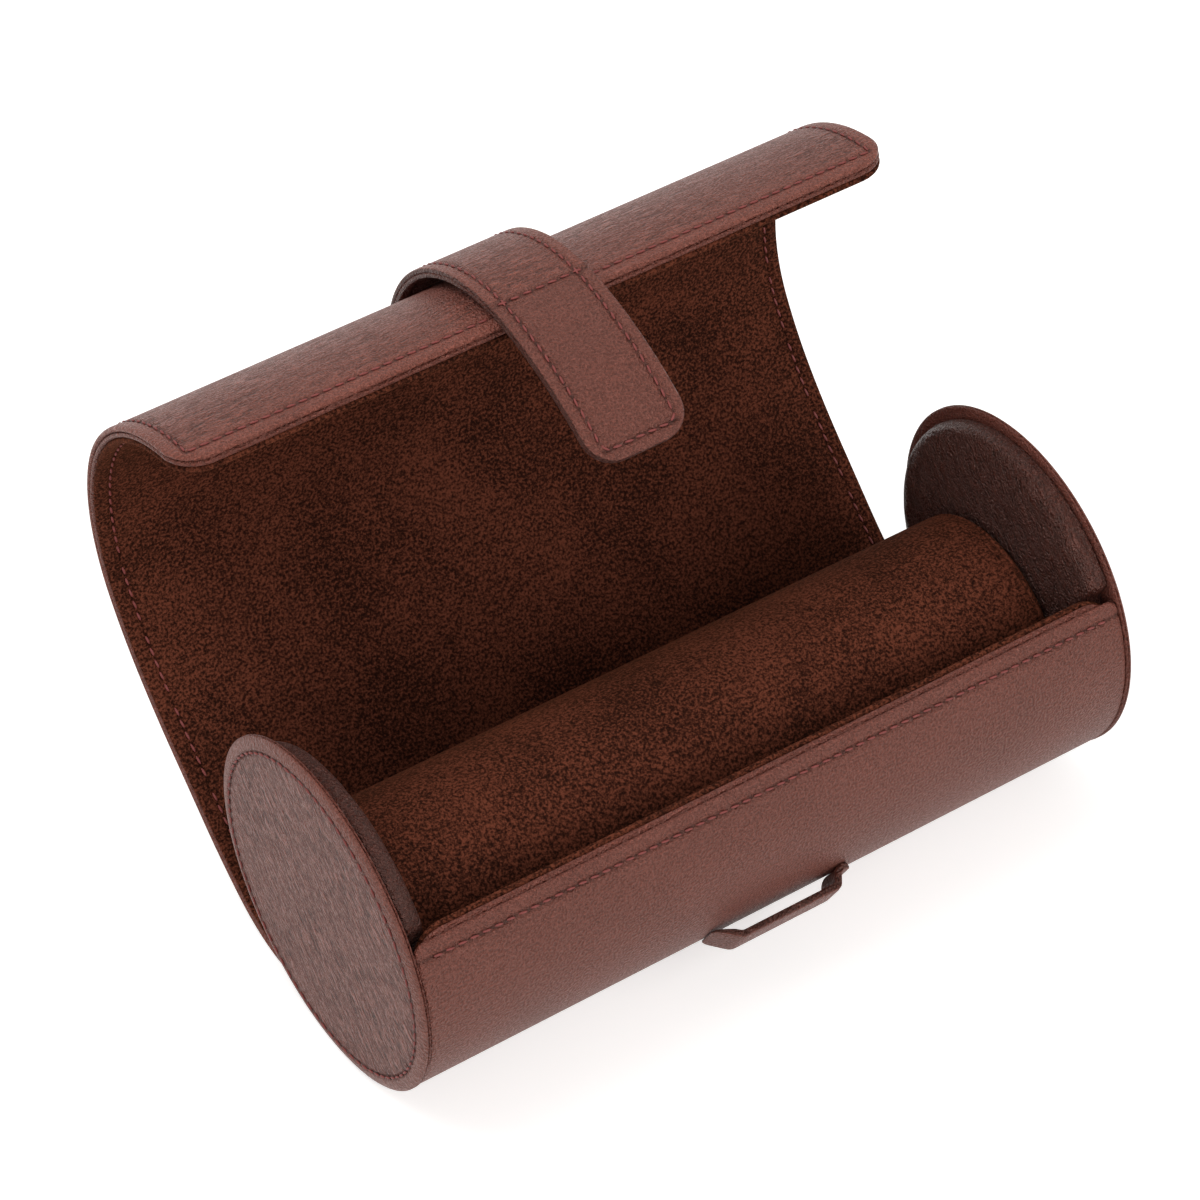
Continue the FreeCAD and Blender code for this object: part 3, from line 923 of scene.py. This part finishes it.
# The filled pads are a little fuller than the CAD ones and stand forward and up, clear of the closed lid
PAD_FULL = 38.1
PAD_FORWARD = 1.2
PAD_RISE = 1.0
PAD_SWELL = 0.5
PAD_EASE = 2.0
PAD_LIP_ROOM = 0.8
PAD_WALL_ROOM = 0.1
PAD_SEWN = 1.0
PAD_SEGMENTS = 120

# The discs: height of the face, and how far the stitches lie outside the common inset
DISC_FACE = 1.95
DISC_RING_SHIFT = 0.3
DISC_SEGMENTS = 144
DISC_SEAM_POINTS = 181


def hold_in(obj, limit):
    """Draws a pad in to a radius where the wall holds it, from the lip under the case to the bending back."""
    spots = places(obj) / MM
    y, z = spots[:, 1], spots[:, 2] - AXIS_Z
    radius = np.hypot(y, z)
    angle = np.degrees(np.arctan2(z, y)) % 360
    into = np.minimum(angle - PAD_LIP_ANGLE + PAD_LIP_ROOM, PAD_BACK_ANGLE - angle) / PAD_EASE + 1
    share = np.clip(into, 0, 1)
    drawn = np.maximum(radius - limit, 0) * share ** 2 * (3 - 2 * share)
    keep = 1 - drawn / np.maximum(radius, 1)
    put(obj, np.column_stack((spots[:, 0], y * keep, AXIS_Z + z * keep)) * MM)


def disc_outline(ring, groove):
    """Radius and height pairs of a disc: the edge, the rim, the stitch groove and the crowned face."""
    face = DISC_FACE
    edges = [(38.9, 0.0), (39.7, 0.03), (40.1, 0.15), (40.2, 0.3), (40.05, 0.45), (39.6, 0.53)]
    rim = [(39.95, 0.62), (40.2, 0.78), (40.2, 0.98), (39.9, 1.24), (39.3, 1.52), (38.5, 1.76), (37.8, 1.88)]
    seam = [(ring + 0.8, face - 0.03), (ring + 0.4, face - groove * 0.6), (ring, face - groove),
            (ring - 0.4, face - groove * 0.6), (ring - 0.8, face - 0.05), (ring - 1.8, face)]
    crown = [(30.0, face + 0.05), (20.0, face + 0.1), (10.0, face + 0.1), (3.0, face + 0.1)]
    return edges + rim + seam + crown


def pad_outline():
    """Radius and height pairs of a pad before it is filled: sewn edge, round and flat face."""
    rim = PAD_FULL - PAD_SWELL
    top = PAD_DEPTH - PAD_SWELL
    outline = [(rim - 1.2, 0.0), (rim - 0.3, 0.3), (rim, 0.8)]
    for step in range(CORNER_SEGMENTS + 1):
        angle = math.radians(step * 90 / CORNER_SEGMENTS)
        inward = PAD_ROUND * (1 - math.cos(angle))
        outline.append((rim - inward, top - PAD_ROUND + PAD_ROUND * math.sin(angle)))
    return outline + [(radius, top) for radius in np.linspace(rim - PAD_ROUND - 2.5, 2.0, 11)]


class EndsOperator(bpy.types.Operator):
    """The two ends: a leather disc with a sewn rim outside, and a padded leather round inside"""

    bl_idname = "watch_case.ends"
    bl_label = "Ends"

    def execute(self, context):
        sew = Sewing(context.scene.watch_case_sizes)
        ring = RADIUS - sew.inset + DISC_RING_SHIFT
        turns = np.linspace(0, 2 * math.pi, DISC_SEAM_POINTS)
        circle = [(ring * math.cos(t), ring * math.sin(t)) for t in turns]
        for side, way in (("left", -1), ("right", 1)):
            disc_piece = drum(side + "_round", disc_outline(ring, sew.groove), DISC_SEGMENTS)
            reach = np.hypot(*places(disc_piece)[:, :2].T)
            outer = places(disc_piece)[:, 2] > DISC_FACE / 2
            # The groove round the disc's seam is marked for painted shade
            mark(disc_piece, np.exp(-((reach - ring) / GROOVE_WIDTH) ** 2) * outer, reach > ring)
            stand(disc_piece, way * WALL_HALF, 0, AXIS_Z, way)
            take(disc_piece)
            edit_all()
            bpy.ops.mesh.bisect(plane_co=(0, 0, 0), plane_no=(0, 0, -1), clear_outer=True, use_fill=True)
            bpy.ops.object.mode_set(mode="OBJECT")
            settle(disc_piece, "calf_leather_round", "leather", "case", [side + "_disc"])
            thread = sew.row(side + "_round_thread", circle, DISC_FACE)
            stand(thread, way * WALL_HALF, 0, AXIS_Z, way)
            settle(thread, "waxed_thread", "leather", "case")
            cushion = drum(side + "_cushion", pad_outline(), PAD_SEGMENTS)
            stand(cushion, way * WALL_HALF, -PAD_FORWARD, AXIS_Z + PAD_RISE, -way)
            hold_in(cushion, PAD_HELD - PAD_SWELL)
            swell(cushion, np.abs(places(cushion)[:, 0]) > (WALL_HALF - PAD_SEWN) * MM, PAD_SWELL)
            hold_in(cushion, PAD_HELD - PAD_WALL_ROOM)
            apply(cushion, "SUBSURF", levels=1, render_levels=1)
            # The pads take the darkest copy of the leather: painted shade for the inside of the ends
            settle(cushion, "calf_leather_pad_painted_shade", "leather", "case", [side + "_pad_cover", side + "_pad_foam"])
        return {"FINISHED"}


# The roll before it is filled: its slack and swelling, and its hem
ROLL_SLACK = 0.5
ROLL_SWELL = 0.45
ROLL_HEM = 2.6
ROLL_HEM_ROOM = 4.0
ROLL_RINGS = 40
ROLL_SEGMENTS = 96


def roll_outline():
    """Radius and height pairs of the roll before it is filled, with a turned hem near each end."""
    sleeve = ROLL_RADIUS - ROLL_SLACK
    hem = ROLL_HEM
    end = [(4.0, 0.3), (10.0, 0.3), (16.0, 0.3), (20.0, 0.3), (23.0, 0.4), (24.6, 0.8), (25.5, 1.4),
           (sleeve - 0.1, 2.0), (sleeve - 0.1, hem - 0.25), (sleeve - 0.45, hem), (sleeve - 0.1, hem + 0.25),
           (sleeve, hem + 1.0)]
    low = [(radius, -ROLL_HALF + height) for radius, height in end]
    reach = ROLL_HALF - hem - ROLL_HEM_ROOM
    body = [(sleeve, height) for height in np.linspace(-reach, reach, ROLL_RINGS)]
    return low + body + [(radius, -height) for radius, height in reversed(low)]


class RollOperator(bpy.types.Operator):
    """The cushion roll: suede drawn over foam, with a turned hem near each end"""

    bl_idname = "watch_case.roll"
    bl_label = "Cushion roll"

    def execute(self, context):
        roll = drum("roll_cushion", roll_outline(), ROLL_SEGMENTS)
        stand(roll, 0, ROLL_Y, ROLL_Z, 1)
        swell(roll, np.zeros(len(roll.data.vertices), bool), ROLL_SWELL)
        apply(roll, "SUBSURF", levels=1, render_levels=1)
        settle(roll, "brushed_suede", "suede", "roll", ["roll_cover", "roll_left_end", "roll_right_end"])
        return {"FINISHED"}


# The loop's band: its share of thickness at the skived end, the length of the skive, and its corners
BAND_THIN = 0.3
BAND_SKIVE = 7.0
BAND_CORNER = 2.3
BAND_STEP = 0.5
BAND_POINT_GAP = 0.25


def band_path():
    """The band's outer face, as place along the case and radius: skived foot, bridge and foot."""
    foot = KEEPER_HALF + KEEPER_SLOPE + KEEPER_FOOT
    corners = [(-foot - 0.6, RADIUS + BAND_THIN * BAND_LEATHER), (-KEEPER_HALF + 0.4, BAND_TOP),
               (KEEPER_HALF, BAND_TOP), (KEEPER_HALF + KEEPER_SLOPE, RADIUS + BAND_LEATHER),
               (foot, RADIUS + BAND_LEATHER)]
    corners = [np.array(corner) for corner in corners]
    points = []
    for a, b in zip(corners, corners[1:]):
        count = round(np.hypot(*(b - a)) / BAND_POINT_GAP)
        points += [a + (b - a) * i / count for i in range(count)]
    return Path(eased(points + [corners[-1]], STRAP_EASE))


class KeeperOperator(bpy.types.Operator):
    """The loop on the front that the tongue goes under"""

    bl_idname = "watch_case.keeper"
    bl_label = "Keeper loop"

    def execute(self, context):
        band = band_path()
        obj = flat_sheet("keeper_band", 0.0, band.length, BAND_WIDTH / 2, BAND_LEATHER, BAND_CORNER,
                         step=BAND_STEP, rounding=STRAP_ROUND, painted=True)
        remember_flat(obj)
        spots = places(obj)
        skived = np.clip(BAND_THIN + spots[:, 1] / BAND_SKIVE, 0.0, 1.0)
        x, radius = band.at(spots[:, 1], spots[:, 2] * skived).T
        inner = BAND_TOP - BAND_LEATHER
        angle = math.radians(BAND_ANGLE) + (BAND_WIDTH / 2 + spots[:, 0]) / inner
        put(obj, np.column_stack((x, radius * np.cos(angle), AXIS_Z + radius * np.sin(angle))) * MM)
        take(obj)
        edit_all()
        bpy.ops.mesh.normals_make_consistent(inside=False)
        bpy.ops.object.mode_set(mode="OBJECT")
        settle(obj, "calf_leather", "leather", "case", ["keeper_loop"])
        return {"FINISHED"}


class InsideOperator(bpy.types.Operator):
    """Board and foam finishes on the CAD nodes that stay inside the ends and the roll"""

    bl_idname = "watch_case.inside"
    bl_label = "Inside"

    def execute(self, context):
        kinds = {"left_end_board": "greyboard", "right_end_board": "greyboard", "roll_core": "grey_foam"}
        for node, kind in kinds.items():
            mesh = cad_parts[node].data
            mesh.materials.clear()
            mesh.materials.append(finish(kind))
        return {"FINISHED"}


CAMERA_PLACE = (-0.3921, -0.55921, 0.77075)
CAMERA_AZIMUTH = -33.566
CAMERA_ELEVATION = 45.27
CAMERA_ROLL = -0.083
CAMERA_LENS = 140.72
CAMERA_SENSOR = 36.0
CAMERA_CLIP = (0.05, 20.0)
WORLD_LEVEL = 0.42
FLOOR_LIFT = 0.47
FLOOR_SIZE = 6.0

# Lamps: name, place, width, height and power, all aimed at the middle of the case
LAMPS = (("top_light", (-0.35, 0.45, 1.1), 1.2, 0.8, 8.5),
         ("front_light", (0.55, -1.0, 0.75), 0.8, 0.8, 8.0),
         ("side_light", (-0.8, -0.8, 0.6), 0.5, 0.5, 3.0))
LAMP_AIM = (0.0, 0.03, 0.06)


def softbox(name, place, width, height, power):
    """A large soft lamp aimed at the middle of the case."""
    light = bpy.data.lights.new(name, "AREA")
    light.shape = "RECTANGLE"
    light.size = width
    light.size_y = height
    light.energy = power
    lamp = bpy.data.objects.new(name, light)
    bpy.context.scene.collection.objects.link(lamp)
    lamp.location = place
    lamp.rotation_euler = (Vector(place) - Vector(LAMP_AIM)).to_track_quat("Z", "Y").to_euler()


def seen_ray(tree):
    """1 for a ray that the camera sends, or that it sees mirrored or through a clear piece, else 0."""
    ray = add(tree, "LightPath").outputs
    mirrored = add(tree, "Math", {0: ray["Is Camera Ray"], 1: ray["Is Glossy Ray"]}, operation="MAXIMUM")
    through = {0: mirrored.outputs["Value"], 1: ray["Is Transmission Ray"]}
    return add(tree, "Math", through, operation="MAXIMUM").outputs["Value"]


class StageOperator(bpy.types.Operator):
    """White floor, soft studio light and the camera"""

    bl_idname = "watch_case.stage"
    bl_label = "Stage"

    def execute(self, context):
        scene = context.scene
        scene.view_settings.view_transform = "Standard"
        clear_selection()
        bpy.ops.mesh.primitive_plane_add(size=FLOOR_SIZE, location=(0, 0, 0))
        floor = context.object
        floor.name = "floor"
        material, tree = new_material("white_paper")
        lift = add(tree, "Math", {0: seen_ray(tree), 1: FLOOR_LIFT}, operation="MULTIPLY")
        paper = add(tree, "BsdfDiffuse", {"Color": linear("#f2f0ee")})
        glow = add(tree, "Emission", {"Strength": lift.outputs["Value"]})
        both = add(tree, "AddShader", {0: paper.outputs["BSDF"], 1: glow.outputs["Emission"]})
        add(tree, "OutputMaterial", {"Surface": both.outputs["Shader"]})
        floor.data.materials.append(material)
        world = bpy.data.worlds.new("studio")
        scene.world = world
        world.use_nodes = True
        tree = world.node_tree
        tree.nodes.clear()
        level = add(tree, "Math", {0: seen_ray(tree), 1: 1 - WORLD_LEVEL, 2: WORLD_LEVEL},
                    operation="MULTIPLY_ADD")
        sky = add(tree, "Background", {"Color": (1, 1, 1, 1), "Strength": level.outputs["Value"]})
        add(tree, "OutputWorld", {"Surface": sky.outputs["Background"]})
        for lamp in LAMPS:
            softbox(*lamp)
        data = bpy.data.cameras.new("camera")
        data.lens = CAMERA_LENS
        data.sensor_width = CAMERA_SENSOR
        camera = bpy.data.objects.new("camera", data)
        scene.collection.objects.link(camera)
        angles = (CAMERA_AZIMUTH, CAMERA_ELEVATION, CAMERA_ROLL)
        azimuth, elevation, roll = (math.radians(angle) for angle in angles)
        right = Vector((math.cos(azimuth), math.sin(azimuth), 0))
        level = math.cos(elevation)
        back = Vector((math.sin(azimuth) * level, -math.cos(azimuth) * level, math.sin(elevation)))
        up = back.cross(right)
        across = math.cos(roll) * right + math.sin(roll) * up
        above = math.cos(roll) * up - math.sin(roll) * right
        turn = Matrix((across, above, back)).transposed().to_4x4()
        camera.matrix_world = Matrix.Translation(CAMERA_PLACE) @ turn
        data.clip_start, data.clip_end = CAMERA_CLIP
        scene.camera = camera
        return {"FINISHED"}


class CasePanel(bpy.types.Panel):
    """The case's sizes, colours and pieces in the sidebar"""

    bl_idname = "VIEW3D_PT_watch_case"
    bl_label = "Watch case"
    bl_space_type = "VIEW_3D"
    bl_region_type = "UI"
    bl_category = "Watch case"

    def draw(self, context):
        for group in (context.scene.watch_case_sizes, context.scene.watch_case_colours):
            box = self.layout.box()
            for key in group.__annotations__:
                box.prop(group, key)
        for operator in OPERATORS:
            self.layout.operator(operator.bl_idname)


OPERATORS = (WallOperator, BackOperator, LidOperator, StrapOperator, EndsOperator, RollOperator,
             KeeperOperator, InsideOperator, StageOperator)
CLASSES = (CaseSizes, CaseColours) + OPERATORS + (CasePanel,)


def register():
    for kind in CLASSES:
        bpy.utils.register_class(kind)
    bpy.types.Scene.watch_case_sizes = bpy.props.PointerProperty(type=CaseSizes)
    bpy.types.Scene.watch_case_colours = bpy.props.PointerProperty(type=CaseColours)


def unregister():
    del bpy.types.Scene.watch_case_colours
    del bpy.types.Scene.watch_case_sizes
    for kind in reversed(CLASSES):
        bpy.utils.unregister_class(kind)


def main():
    register()
    for operator in OPERATORS:
        group, name = operator.bl_idname.split(".")
        getattr(getattr(bpy.ops, group), name)()
    clear_selection()


if __name__ == "__main__":
    main()
